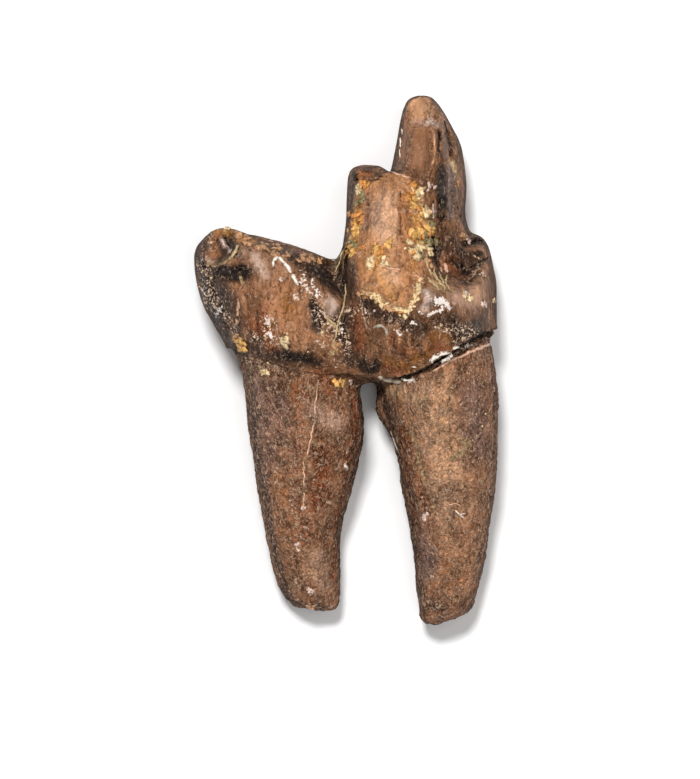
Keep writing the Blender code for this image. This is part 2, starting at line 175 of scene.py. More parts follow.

# Stains with an edge, and painted highlights and glints ('white', some 'pale' lines), seen from the cheek
# side: half width, strength and route
STAINS_AND_HIGHLIGHTS = {
    # Black: dark pits, cracks and patches, and along the carved flutes, folds and crack dark colour with
    # painted shade
    "black": table("""
6 .9 -334,237 7,-24 9,5
4 .9 -273,284 16,-36
3 .9 231,561 7,-28 7,-52
3 .8 259,371 14,-45
4 .9 294,218 17,12 23,11
8 1 325,67 -54,-33
4 1 127,-40 19,2 40,18 35,24 19,9
3 1 26,439 2,-7
3 .8 45,423 16,0 17,4
8 .8 -292,208 24,-7 33,3
7 .8 -341,189 18,-56
6 .8 -315,119 14,-33
6 .7 -144,20 69,-19
5 .7 -19,81 19,-61
4 .8 24,109 14,19 23,-14
"""),
    "straw": table("""
5 .9 -327,230 16,-12 19,9 19,12 19,31
6 1.1 -250,204 5,-22
7 .9 -264,53 24,-33
6 1 -200,-15 12,-14
8 1 -28,34 7,-12 -14,-7
6 .9 -47,100 12,-19 14,-2 7,-12
3 .8 -5,260 -26,-71
6 .8 -172,262 12,0
3 1 -68,-65 -7,-75 -7,-47 -10,-35 -7,-19 0,-83 -2,-26
6 .6 -89,-67 18,2
7 .6 -80,-187 14,-7
7 1 155,-171 29,-101
9 1 250,-230 16,8 26,23 -17,12
6 .6 200,-324 5,-51
6 .7 320,-277 2,-51
6 .8 306,-460 0,-10
5 1 254,465 7,-24
4 .8 240,185 10,0
5 1 174,189 -9,-42
5 .9 191,246 2,-19
7 .9 78,-39 35,-9
3 .7 242,-93 0,-59 8,-70
3 .7 250,-375 2,-38
4 .6 42,72 5,-14
3 .9 287,185 14,12 10,16
"""),
    "orange": table("""
8 .9 26,401 9,-28
8 .9 33,406 19,12
8 .9 21,335 5,-42
9 .9 16,279 -7,-19
12 .9 68,262 14,-9
9 .9 155,397 10,-26
12 .8 162,350 7,-38 -4,-19
9 .9 193,321 2,-21
7 .8 184,270 14,7
5 1 71,149 9,-14 12,-9 16,-5
7 1 127,114 19,3 9,11
5 1 35,154 24,3
6 1 -19,-53 0,-2
5 .7 -7,-46 9,5
9 .6 47,232 28,-5
9 .6 155,232 10,-19
7 .6 104,152 16,-24
7 .5 139,-27 16,-5
"""),
    # Pale lines along the keen edge, a rim, a scratch and the root's lip, and painted highlights on two
    # drop-shaped bulges and by the bright ledge
    "pale": table("""
2 .9 205,536 3,-24 0,-21 -2,-19 -8,-24 -3,-14
3 1 106,444 16,-7 15,-3 11,-4
4 .7 -254,142 -3,-70
3 .7 205,-25 40,26 96,40
4 .8 99,46 0,-10
3 .8 125,51 0,-10
4 .8 250,133 14,2
3 .7 297,251 14,-10
"""),
    # Painted highlights and glints, near white, on the crown, the crack and a few spots of the roots
    "white": table("""
10 1 212,138 12,4 7,-11
5 1 240,133 2,-12
4 1 172,112 16,-12 12,9 24,10
5 1 198,-1 9,7
3 1 212,13 14,5 16,2
4 1 224,-4 23,15
4 .8 250,25 14,9
5 .9 132,-44 26,-2
4 .9 282,34 15,2
5 1 282,159 5,-14
3 .8 221,220 3,-12
3 .9 231,227 4,-19
4 .9 -337,166 7,-14
7 .9 -297,119 -9,-12
6 1 -153,51 9,-5
5 1 -186,98 5,-10
8 .8 -186,67 7,-9
5 .9 -118,149 3,-4
4 1 -2,-246 4,-9
3 .9 -101,-345 2,-5
3 .9 -87,-543 7,-2
5 .8 184,-366 2,-5
4 .8 -9,81 0,-16
4 .8 118,69 7,-7
5 .6 153,91 12,-7
6 .8 -87,-580 9,0
6 .72 -108,187 14,-14 33,-24
5 .6 -106,206 9,-17
4 .9 -87,197 12,-22 9,-11
"""),
    # Pale specks where sand grains lie, partly painted glints
    "specks": table("""
19 1 -188,95 14,-16 -10,-21 19,-10
16 .7 -226,62 28,-18
21 .7 -337,222 5,-51 21,-52
21 .9 -66,114 24,-42 -15,-26
19 1 -24,86 24,-61
16 .8 9,114 33,10 5,-33
16 .7 -231,-4 64,-4
14 .8 257,46 49,21
14 .8 280,32 54,9
21 .5 -108,166 47,-38
21 .4 -132,72 38,-36
14 .6 315,232 -14,-38
21 .5 108,91 29,-19 23,9
14 .6 -320,293 5,-33
14 .5 -38,1 36,-9
21 .4 339,-93 -5,-71
14 .5 273,293 19,-14
21 1 -334,227 23,-94
19 .7 -301,142 42,-80
16 .8 -351,232 21,-99
14 .7 217,81 42,-14 33,14
"""),
    "crumbs": table("""
16 .9 -311,302 33,0 38,-14
12 .9 -207,267 169,-49
19 .7 -315,142 56,-106
14 .8 33,390 -19,-130
14 .7 160,397 24,-95 0,-37
12 .8 287,298 24,-14
12 .6 -226,20 118,-28
"""),
    "smooth": table("""
19 .6 165,604 9,-19 -5,-24
21 1 179,533 -10,-75
9 .9 141,566 -7,-89
19 .45 -221,246 23,-19 14,-28
19 .8 259,147 28,-14 24,19
12 .8 233,519 2,-42
12 .8 -33,142 2,-23
9 .7 42,437 14,-3
"""),
}

# How large, which and how rare each stain's patches are on the unseen sides; the white ones are painted
# glints
UNSEEN = {
    "black": (0.5, 53, 0.42), "straw": (0.5, 56, 0.34), "orange": (0.6, 74, 0.40),
    "white": (0.25, 77, 0.52), "specks": (0.8, 80, 0.15),
}


def linear(values):
    """Screen colour values from 0 to 255 as the linear numbers that shaders take."""
    shares = np.asarray(values) / 255
    return np.where(shares <= 0.04045, shares / 12.92, ((shares + 0.055) / 1.055) ** 2.4)


def srgb(red, green, blue):
    return (*linear((red, green, blue)).tolist(), 1)


# The three surfaces' own colours, and the colours of the washes over them, as screen values. The pale
# pinkish grey one is only laid as a painted sheen and highlight.
BONE = (129, 89, 65)
ENAMEL = (136, 96, 70)
DENTINE = (196, 142, 104)
WASH_COLOURS = {
    "pitch": (22, 16, 13), "coal": (50, 40, 35), "bark": (58, 41, 31),
    "umber": (88, 62, 46), "olive": (120, 101, 76), "slate": (102, 88, 82), "ink": (70, 64, 61),
    "plum": (118, 92, 84), "rust": (112, 60, 36), "chestnut": (148, 100, 70),
    "sienna": (176, 120, 82), "clay": (166, 118, 87), "amber": (130, 84, 45),
    "ochre": (166, 118, 70), "rose": (180, 146, 128), "mauve": (210, 188, 176),
    "tan": (202, 154, 118), "straw": (194, 166, 126), "honey": (220, 162, 112),
    "peach": (228, 182, 150), "fawn": (180, 140, 112),
}

# The soft washes in the order they lie, on the cheek side: colour, half width, strength and route. Besides
# the tooth's own colours they hold painted shade in the deep groove, the shelf's pit and folds, the tall
# cusp's flutes and over the furcation, and painted sheen and highlights.
WASHES = {
    # Its pale pinkish grey washes and the broad rose ones on its upper body are painted sheen
    "the heel": table("""
umber 24 .9 -198,270 137,-43 47,5
bark 21 .7 -108,232 70,-19
ochre 16 .9 -311,307 33,-2 61,-24
coal 12 .7 -325,293 -12,-19
bark 42 .95 -334,251 23,-123 57,-103
coal 21 .8 -351,232 31,-123 56,-94
pitch 21 .8 -334,232 4,-33 36,-61
chestnut 19 .9 -306,281 9,-26 -18,-4
rose 8 .8 -337,246 24,-19
olive 8 .9 -323,220 45,17 24,33
pitch 9 .8 -285,286 17,-40
pitch 19 .95 -292,204 64,0
pitch 9 .9 -301,215 66,3 16,-5
coal 21 .8 -290,166 15,-57
clay 47 .7 -198,166 90,-66
rose 26 .4 -235,251 23,-10
mauve 14 .6 -212,239 26,-38
rose 21 .3 -165,232 24,-14
clay 21 .6 -132,72 35,-19 31,0
bark 14 .6 -264,142 14,-75
rust 19 .6 -226,95 19,-23
amber 14 .6 -141,147 7,-42
bark 26 .8 -66,199 38,-33
pitch 16 .7 -57,206 24,-12
coal 14 .85 -75,126 9,-49
umber 16 .7 -47,100 14,-28
mauve 14 .8 -38,142 10,-18 -10,-15
bark 19 .9 -240,34 33,-14 141,-26
pitch 12 .7 -167,15 78,-19
coal 16 .6 -217,53 19,-14
olive 9 .9 -268,62 28,-42
"""),
    # The coal and pitch washes down the deep groove are dark colour with painted shade, and the pitch wash
    # over the furcation is a painted shadow
    "the groove and the base": table("""
bark 21 .9 -24,91 38,-71 -5,-24
coal 16 .95 0,255 -7,-94
pitch 9 .8 -17,232 8,-43
olive 12 .7 -19,248 -9,-26
coal 14 .7 14,222 5,-37 -5,-33
rust 21 .8 9,114 24,-33 -9,-42
bark 19 .9 42,142 24,-28 33,-9
pitch 16 .9 38,-8 14,-19 19,14
umber 21 .8 146,91 52,-52
bark 21 .85 235,95 29,-9 -5,-28
rust 16 .7 198,25 28,2
amber 19 .8 99,-8 38,-5 56,24
rust 14 .6 94,-22 38,-5
bark 16 .8 297,81 28,10
rust 24 .6 -57,-32 24,-23
umber 19 .6 -212,-13 104,-9
"""),
    # The pitch, coal and bark washes in its deep pit and folds are dark colour with painted shade; the pale
    # pinkish grey wash on the boss is a painted highlight
    "the front shelf": table("""
bark 33 .9 235,270 57,-38
rust 21 .6 245,227 19,-33
pitch 16 .9 207,270 0,-33
pitch 19 .9 287,277 28,2
coal 9 .8 292,208 19,19 19,10
coal 9 .7 273,180 19,5 19,14
rose 24 .8 259,147 28,-9 28,19
tan 19 .7 301,159 19,7
clay 12 .7 330,227 14,-23 0,-43
mauve 14 .9 188,161 5,-23 -7,-17
coal 7 .6 198,133 -10,-7
straw 16 .6 217,171 18,-5
"""),
    # The thin peach line down its ridge is a painted highlight
    "the broken face": table("""
plum 9 .7 49,387 -2,-75
peach 28 .8 89,378 5,-85
rose 14 .5 71,364 2,-47
sienna 16 .7 146,392 -2,-108
sienna 5 .8 127,387 0,-99
peach 5 .8 118,392 2,-104
honey 28 .7 61,232 38,-47 9,-38
peach 19 .7 104,208 18,-19
sienna 19 .5 155,232 -9,-43
sienna 9 .5 38,232 -5,-43
ochre 14 .6 28,366 -9,-92
coal 12 .9 16,434 -4,-80
rust 9 .9 33,439 23,-2
bark 7 .9 24,425 14,-5
"""),
    # The pitch, coal, ink and slate washes in the flutes and the groove are dark colour with painted shade;
    # the pale pinkish grey spot near the tip is a painted highlight
    "the tall cusp": table("""
tan 19 .9 165,604 12,-10 -8,-18
tan 12 .9 184,604 14,-19
umber 12 .8 207,606 14,-16
rose 12 .6 158,559 35,2
umber 12 .7 165,444 12,-29 2,-28
umber 12 .7 129,463 12,-10
mauve 9 .9 193,561 12,3 7,-12
peach 3 .8 207,533 2,-37 -2,-24 -7,-24
pitch 6 .95 217,536 0,-50
slate 9 .9 231,561 4,-84
coal 4 .9 238,552 9,-71
ink 14 1 224,444 7,-80
pitch 6 .8 217,392 7,-90
slate 14 1 247,458 -2,-118
umber 12 .8 273,350 9,-38
umber 9 .8 235,312 5,-42
clay 5 .6 219,312 12,-66
straw 7 .8 254,465 5,-21
"""),
    # Its rose washes, and the rose one near its top in the third coat, are mostly painted sheen
    "the heel-side root": table("""
bark 21 .85 -226,-27 47,-384 38,-143
umber 28 .5 -198,-36 33,-15 14,15
plum 21 .7 -151,-93 33,-146
rose 28 .5 -94,-121 52,-10 23,-18
rose 19 .35 -113,-281 5,-71
rust 21 .55 -57,-215 10,-57 -10,-52
rust 16 .95 14,-60 10,-68 -22,-130
rust 12 .8 -9,-319 -15,-68 -7,-139
bark 9 .8 28,-55 3,-62 -7,-65
rose 21 .55 -66,-460 5,-47 14,-29
bark 12 .8 -137,-564 38,-14 42,-5
"""),
    "the front root": table("""
straw 21 .5 89,-65 33,-9
coal 12 .7 108,-102 14,-38
bark 11 .9 89,-107 24,-61 19,-71 52,-353
rust 16 .95 132,-168 28,-207
fawn 52 .9 184,-88 37,-76 33,-176
tan 28 .5 198,-93 37,-188
tan 21 .5 240,-27 -5,-57
tan 19 .5 250,-201 28,9
olive 16 .5 155,-84 24,-18
plum 33 .7 292,-74 23,-127
clay 21 .5 287,-281 -9,-71
straw 16 .4 174,-258 19,-47
plum 21 .8 179,-423 19,-37 -10,-38
rust 19 .5 235,-484 15,-37
umber 19 .5 273,-423 -5,-70
bark 14 .7 193,-578 38,-5
bark 9 .5 346,-46 5,-118 -3,-117 -14,-142
"""),
    "a second coat": table("""
pitch 19 .85 -71,208 38,-30
bark 14 .8 -127,241 47,-37
pitch 11 .85 -78,133 14,-49
bark 19 .8 -5,119 19,-75
pitch 9 .7 -9,100 4,-42
bark 16 .7 113,102 71,-30
pitch 12 .6 245,91 14,-29
umber 14 .7 137,25 37,9
chestnut 7 .9 35,439 29,-9
pitch 6 .9 21,446 3,-16
bark 5 .9 42,451 24,-5 14,-12
fawn 24 .5 -99,-423 19,-75
fawn 19 .6 250,-423 9,-47
bark 19 .6 221,77 47,-15 38,19
olive 12 .4 240,86 10,-38
fawn 38 .4 -127,-140 23,-235
rust 19 .5 -66,-201 9,-57 -14,-70
plum 14 .5 -226,-93 14,-94
fawn 28 .4 212,-375 33,-179
pitch 14 .8 -287,208 23,-9 26,5
mauve 6 1 -290,286 15,-33
coal 7 .9 -301,279 16,-35
coal 12 .7 -271,284 17,-36
bark 24 .6 217,86 51,-19 52,14
pitch 12 .5 250,48 65,24
pitch 7 .8 250,232 23,-14 19,-19
pitch 7 .8 273,258 24,-7 23,4
umber 16 .7 325,114 19,14
"""),
    "a third coat": table("""
rust 16 .6 -47,-234 -5,-57 -19,-52
rust 12 .8 19,-74 7,-54 -7,-59
plum 21 .6 -212,-55 19,-226
rose 21 .5 -80,-117 28,-32 24,9
plum 24 .7 184,-375 14,-66 -14,-64
tan 16 .6 235,-46 7,-141
tan 14 .6 250,-222 23,7 14,18
clay 24 .6 273,-328 9,-95 -18,-94
bark 7 .8 80,-74 28,-75
chestnut 28 .6 -179,-187 47,-236
rust 24 .4 -108,-69 -10,-118 24,-236
plum 28 .6 -193,-60 19,-174
coal 16 .6 -231,-58 29,-223
chestnut 24 .5 198,-399 47,-71 23,-70
rust 14 .5 165,-258 28,-117
tan 12 .5 217,-74 33,-19 -29,-47
rust 16 .5 -198,114 24,-78
clay 12 .5 -165,142 19,-94
rust 14 .6 113,48 19,-28 19,5
amber 16 .6 202,53 29,14 28,-38
pitch 14 .8 -292,208 24,-9 30,5
clay 8 .6 125,55 0,-30
clay 8 .6 148,46 0,-26
clay 8 .5 184,48 0,-23
pitch 12 .5 -141,20 70,-24
pitch 14 .5 -337,199 10,-47 21,-47
rust 14 .5 -198,86 19,-47
straw 7 .7 198,189 23,-16
bark 7 .7 212,204 14,-19
"""),
}

# The washes' patches on the unseen sides, as in UNSEEN, and how strong they are
UNSEEN_STRENGTH = 0.8
UNSEEN_WASHES = {
    "umber": (1.3, 50, 0.02), "plum": (1.4, 65, 0.14), "rust": (1.2, 62, 0.10), "rose": (0.9, 68, 0.25),
    "amber": (1.1, 59, 0.20), "bark": (0.9, 83, 0.10), "tan": (0.7, 71, 0.34), "pitch": (0.7, 86, 0.30),
}


def new_object(name, data):
    made = bpy.data.objects.new(name, data)
    bpy.context.scene.collection.objects.link(made)
    return made


def evaluated_mesh(source):
    """The object's mesh with its modifiers applied. The object itself is removed."""
    graph = bpy.context.evaluated_depsgraph_get()
    mesh = bpy.data.meshes.new_from_object(source.evaluated_get(graph))
    bpy.data.objects.remove(source)
    return mesh


def soften(source, passes):
    soft = source.modifiers.new("soft", "SMOOTH")
    soft.factor = SMOOTH_FACTOR
    soft.iterations = passes


def fine_skin(node):
    """The solid tooth as one even fine skin in millimetres, its facets rounded off."""
    mesh = node.data.copy()
    mesh.transform(Matrix.Scale(1 / MM, 4))
    welded = bmesh.new()
    welded.from_mesh(mesh)
    bmesh.ops.remove_doubles(welded, verts=welded.verts, dist=WELD_DISTANCE)
    welded.to_mesh(mesh)
    welded.free()
    rough = new_object("rough", mesh)
    rough.modifiers.new("round", "SUBSURF").levels = 1
    even = rough.modifiers.new("even", "REMESH")
    even.mode = "VOXEL"
    even.voxel_size = SKIN_VOXEL
    soften(rough, SKIN_SMOOTHING)
    return evaluated_mesh(rough)


def smoothly(share):
    """0 below 0, 1 above 1, and an even S between."""
    share = np.clip(share, 0, 1)
    return share * share * (3 - 2 * share)


def stepped(distance, edge):
    """1 inside a border and 0 outside it, over an edge of this width."""
    return smoothly(distance / edge + 0.5)


def rounded(route):
    """A route with its corners cut off twice, so that it bends smoothly. Its ends stay."""
    places = np.array(route, float)
    for _ in range(2):
        early = 0.75 * places[:-1] + 0.25 * places[1:]
        late = 0.25 * places[:-1] + 0.75 * places[1:]
        between = np.stack([early, late], axis=1).reshape(-1, places.shape[1])
        places = np.vstack([places[:1], between, places[-1:]])
    return places


class Skin:
    """The tooth's surface, to carve and to stain along routes that are laid on it."""

    FAR = 20.0
    STEP = 0.03
    # The noises that strokes wander with: their sizes, and the fine one's share
    SWAY_SIZES = (0.32, 0.11)
    FINE_SWAY = 0.6

    def __init__(self, mesh):
        self.mesh = mesh
        self.points = np.empty((len(mesh.vertices), 3))
        self.normals = np.empty((len(mesh.vertices), 3))
        self.sway = []
        self.read()

    def read(self):
        flat = np.empty(self.points.size, np.float32)
        self.mesh.vertices.foreach_get("co", flat)
        self.points[:] = flat.reshape(-1, 3)
        self.mesh.vertex_normals.foreach_get("vector", flat)
        self.normals[:] = flat.reshape(-1, 3)

    def retree(self):
        faces = [tuple(face.vertices) for face in self.mesh.polygons]
        self.tree = BVHTree.FromPolygons(self.points.tolist(), faces)

    def move(self, by):
        self.mesh.vertices.foreach_set("co", (self.points + by).astype(np.float32).ravel())
        self.mesh.update()
        self.read()

    def rise(self, amount):
        """Moves each vertex outward by its own amount."""
        self.move(self.normals * np.asarray(amount)[:, None])

    def lift(self, amount):
        """Moves each vertex up by its own amount."""
        self.move(np.outer(amount, (0, 0, 1)))

    def laid(self, route, side="cheek"):
        """Where a look from that side first meets the skin along a route, and how far along each is."""
        way = Vector((0, 0, SIDES[side]))
        known = UNIT * rounded(route)
        lengths = np.append(0, np.cumsum(np.linalg.norm(np.diff(known, axis=0), axis=1)))
        spots = np.linspace(0, lengths[-1], max(2, int(lengths[-1] / self.STEP)))
        found = []
        for spot in spots:
            x, y = [np.interp(spot, lengths, values) for values in known.T]
            place, normal, *_ = self.tree.ray_cast(Vector((x, y, 0)) - self.FAR * way, way)
            if place is not None:
                found.append((place, normal, float(spot / lengths[-1])))
        return found

    def near(self, route, reach, side="cheek", places=None):
        """Each vertex's distance to a route, up to the reach, and how far along it the vertex is.

        The vertices may stand in other places for this.
        """
        spread = self.points if places is None else places
        best = np.full(len(self.points), float(reach))
        along = np.zeros(len(self.points))
        line = self.laid(route, side)
        if not line:
            return best, along
        spots = np.array([place for place, *_ in line])
        low, high = spots.min(0) - reach, spots.max(0) + reach
        close = np.flatnonzero(np.all((spread > low) & (spread < high), axis=1))
        beside, shortest, shares = spread[close], best[close], along[close]
        for spot, (*_, share) in zip(spots, line):
            distance = np.linalg.norm(beside - spot, axis=1)
            closer = distance < shortest
            shortest[closer] = distance[closer]
            shares[closer] = share
        best[close] = shortest
        along[close] = shares
        return best, along

    def carve(self, side, width, start, end, route):
        """Carves along a route, straight away from the viewer. A depth below 0 raises a ridge."""
        distance, along = self.near(route, CARVE_REACH * UNIT * width, side)
        facing = smoothly(-self.normals[:, 2] * SIDES[side] / 0.3)
        depth = UNIT * (start + (end - start) * along) * np.exp(-(distance / (UNIT * width)) ** 2)
        self.lift(depth * facing * SIDES[side])

    def marked(self, strokes):
        """How strongly each vertex is marked by any of the strokes, stains and painted highlights alike, 0
        to 1. Their edges wander.
        """
        mark = np.zeros(len(self.points))
        for width, strength, route in strokes:
            reach = MARK_REACH * UNIT * width
            distance, _ = self.near(route, reach, places=self.swayed(MARK_SWAY))
            mark = np.maximum(mark, strength * np.exp(-(distance / (UNIT * width)) ** 2))
        return mark

    def swayed(self, amount):
        """The vertices' places, each shifted a little by a noise."""
        if len(self.sway) != len(self.points):
            coarse, fine = [
                np.array([noise.noise_vector(spot) for spot in (self.points / size).tolist()])
                for size in self.SWAY_SIZES
            ]
            self.sway = coarse + self.FINE_SWAY * fine
        return self.points + amount * self.sway

    def keep(self, name, values):
        """Stores one number a vertex for the material."""
        layer = self.mesh.attributes.new(name, "FLOAT", "POINT")
        layer.data.foreach_set("value", np.asarray(values, np.float32))


def grain(points, size, along=1, shift=0):
    """Smooth noise from -1 to 1 with lumps of about this size, longer up the tooth if along is below 1."""
    spots = points * (np.array((1, along, 1)) / size) + shift
    return np.array([noise.noise(spot) for spot in spots.tolist()])


def inside(outline, xs, ys):
    """How far each point lies inside a closed outline, below 0 outside it."""
    corners = UNIT * np.array(outline)
    following = np.roll(corners, -1, axis=0)
    nearest = np.full(len(xs), np.inf)
    within = np.zeros(len(xs), bool)
    for (x0, y0), (x1, y1) in zip(corners, following):
        along = ((xs - x0) * (x1 - x0) + (ys - y0) * (y1 - y0)) / ((x1 - x0) ** 2 + (y1 - y0) ** 2)
        along = np.clip(along, 0, 1)
        away = np.hypot(xs - x0 - along * (x1 - x0), ys - y0 - along * (y1 - y0))
        nearest = np.minimum(nearest, away)
        if y0 != y1:
            crosses = (y0 > ys) != (y1 > ys)
            within ^= crosses & (xs < x0 + (ys - y0) * (x1 - x0) / (y1 - y0))
    return np.where(within, nearest, -nearest)


# The noises that make up each relief: height, size, stretch along the tooth and shift
RELIEF = {
    "ragged rim": [(0.02, 0.25, 1, 0), (0.01, 0.09, 1, 0)],
    "ragged break": [(0.05, 0.22, 1, 0), (0.03, 0.08, 1, 5)],
    "bone": [(0.028, 0.30, 0.5, 0), (0.024, 0.13, 0.7, 3), (0.018, 0.075, 1, 9)],
    "root tips": [(1, 0.22, 1, 51)],
    "ribs": [(1, 0.12, 0.16, 20)],
    "swells": [(0.02, 0.6, 1, 14)],
    "fibres": [(0.034, 0.15, 0.25, 31), (0.026, 0.09, 0.6, 37)],
    "crumbs": [(0.05, 0.16, 1, 41), (0.04, 0.09, 1, 43)],
}
# The ribs' height high on the crown, and what is added to it from this level down
RIB_HEIGHT, LOW_RIB_HEIGHT, RIB_LEVEL = 0.010, 0.012, 0.9
# How ragged the root tips are, and below which level
TIP_HEIGHT, TIP_LEVEL = 0.05, -5.2
# How far outside the broken face the other sides count as
NO_BREAK = -1.0
# How high the enamel's rim stands over the bone, what is added in front of which x, and how far in it
# fades out
RIM_HEIGHT, FRONT_RIM_HEIGHT, FRONT_RIM, RIM_FADE = 0.05, 0.08, 0.3, 0.3
BREAK_DEPTH = 0.05
# How wide the steps at the enamel's rim and around the broken face are
RIM_EDGE, BREAK_EDGE = 0.05, 0.06
# How often the skin is smoothed to tell its small hollows and its broad ones
HOLLOW_PASSES, VALLEY_PASSES = 20, 300
# The skin is a flank where it faces up or down less than this
FLANK_LEVEL = 0.62


def relief(points, name):
    """The height of a named relief at each point."""
    return sum(height * grain(points, *noises) for height, *noises in RELIEF[name])


def above_rim(points):
    """How far each point is above the enamel's lower rim."""
    xs, ys = UNIT * np.array(ENAMEL_RIM).T
    return points[:, 1] - np.interp(points[:, 0], xs, ys) + relief(points, "ragged rim")


def in_break(points, normals):
    """How far each point lies inside the broken face, below 0 outside it."""
    depth = inside(BROKEN_FACE, points[:, 0], points[:, 1]) + relief(points, "ragged break")
    facing = (normals[:, 2] > 0.05) & (points[:, 2] > MIDDLE_LEVEL)
    return np.where(facing, depth, NO_BREAK)


def sharpen_rims(skin):
    """Stands the enamel out crisply from the roots, and sinks the broken face."""
    above = above_rim(skin.points)
    front = smoothly((skin.points[:, 0] - FRONT_RIM) / 1.2)
    height = RIM_HEIGHT + FRONT_RIM_HEIGHT * front
    skin.rise(height * np.exp(-np.abs(above) / RIM_FADE) * (stepped(above, RIM_EDGE) - 0.5))
    skin.lift(-BREAK_DEPTH * stepped(in_break(skin.points, skin.normals), BREAK_EDGE))


def roughen(skin):
    """The small relief of each surface: bony roots, ribbed enamel, the fibrous broken face and dirt."""
    points = skin.points
    enamel = smoothly(above_rim(points) / 0.06)
    broken = smoothly(in_break(points, skin.normals) / 0.08)
    tips = TIP_HEIGHT * smoothly(TIP_LEVEL - points[:, 1]) * relief(points, "root tips")
    low = 1 - smoothly((points[:, 1] - RIB_LEVEL) / 0.8)
    ribs = (RIB_HEIGHT + LOW_RIB_HEIGHT * low) * relief(points, "ribs") + relief(points, "swells")
    height = (relief(points, "bone") + tips) * (1 - enamel) + ribs * enamel
    height = height * (1 - broken) + relief(points, "fibres") * broken
    dirty = skin.marked(STAINS_AND_HIGHLIGHTS["specks"] + STAINS_AND_HIGHLIGHTS["straw"] + STAINS_AND_HIGHLIGHTS["crumbs"])
    skin.rise(height + relief(points, "crumbs") * dirty)


def lightened(mesh):
    carved = new_object("carved", mesh)
    fewer = carved.modifiers.new("fewer triangles", "DECIMATE")
    fewer.ratio = SKIN_TRIANGLES / (2 * len(mesh.polygons))
    return evaluated_mesh(carved)


def hollowness(mesh, passes):
    """How far each vertex lies below the skin when that is smoothed this many times, in millimetres."""
    twin = new_object("twin", mesh.copy())
    soften(twin, passes)
    softened = Skin(evaluated_mesh(twin))
    sharp = Skin(mesh)
    below = np.sum((softened.points - sharp.points) * sharp.normals, axis=1)
    bpy.data.meshes.remove(softened.mesh)
    return below


def unseen(skin, size, shift, level):
    """Patches on the sides that the camera doesn't see, 0 to 1."""
    away = smoothly(0.4 - skin.normals[:, 2] / 0.5)
    return away * smoothly((grain(skin.points, size, 0.8, shift) - level) / 0.15)


def tinted(colours, colour, share):
    """The colours, each of them brought its own share of the way to one colour."""
    return colours + share[:, None] * (np.array(colour) - colours)


def washed(skin, enamel, broken):
    """Each vertex's broad colour: its surface's own, with the washes over it in their order."""
    colours = tinted(np.array(BONE), ENAMEL, enamel)
    colours = tinted(colours, DENTINE, broken)
    for name, patches in UNSEEN_WASHES.items():
        colours = tinted(colours, WASH_COLOURS[name], UNSEEN_STRENGTH * unseen(skin, *patches))
    swayed = skin.swayed(WASH_SWAY)
    for name, width, strength, route in sum(WASHES.values(), []):
        distance, _ = skin.near(route, WASH_REACH * UNIT * width, places=swayed)
        share = strength * np.exp(-(distance / (UNIT * width)) ** 3)
        colours = tinted(colours, WASH_COLOURS[name], share)
    return np.hstack([linear(colours), np.ones((len(colours), 1))])


def carved_skin():
    """The tooth's skin with all its relief, none of it below the floor."""
    skin = Skin(fine_skin(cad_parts[TOOTH]))
    skin.retree()
    for side, carvings in CARVINGS.items():
        for carving in carvings:
            skin.carve(side, *carving)
    sharpen_rims(skin)
    roughen(skin)
    skin.lift(np.maximum(-skin.points[:, 2], 0))
    return Skin(lightened(skin.mesh))


def tooth_skin():
    """The tooth's skin with what its material reads: where each surface, hollow and stain is."""
    skin = carved_skin()
    skin.retree()
    enamel = stepped(above_rim(skin.points), RIM_EDGE)
    broken = stepped(in_break(skin.points, skin.normals), BREAK_EDGE)
    skin.keep("enamel", enamel)
    skin.keep("broken", broken)
    # Masks for the painted shade and highlight: small hollows and ridges, broad valleys, and steep flanks,
    # which the material also makes rougher
    skin.keep("hollow", hollowness(skin.mesh, HOLLOW_PASSES))
    skin.keep("valley", hollowness(skin.mesh, VALLEY_PASSES))
    skin.keep("flank", smoothly((FLANK_LEVEL - np.abs(skin.normals[:, 2])) / 0.6))
    store_colours(skin.mesh, "wash", washed(skin, enamel, broken))
    for name, strokes in STAINS_AND_HIGHLIGHTS.items():
        mark = skin.marked(strokes)
        if name in UNSEEN:
            mark = np.maximum(mark, unseen(skin, *UNSEEN[name]))
        skin.keep(name, mark)
    return skin


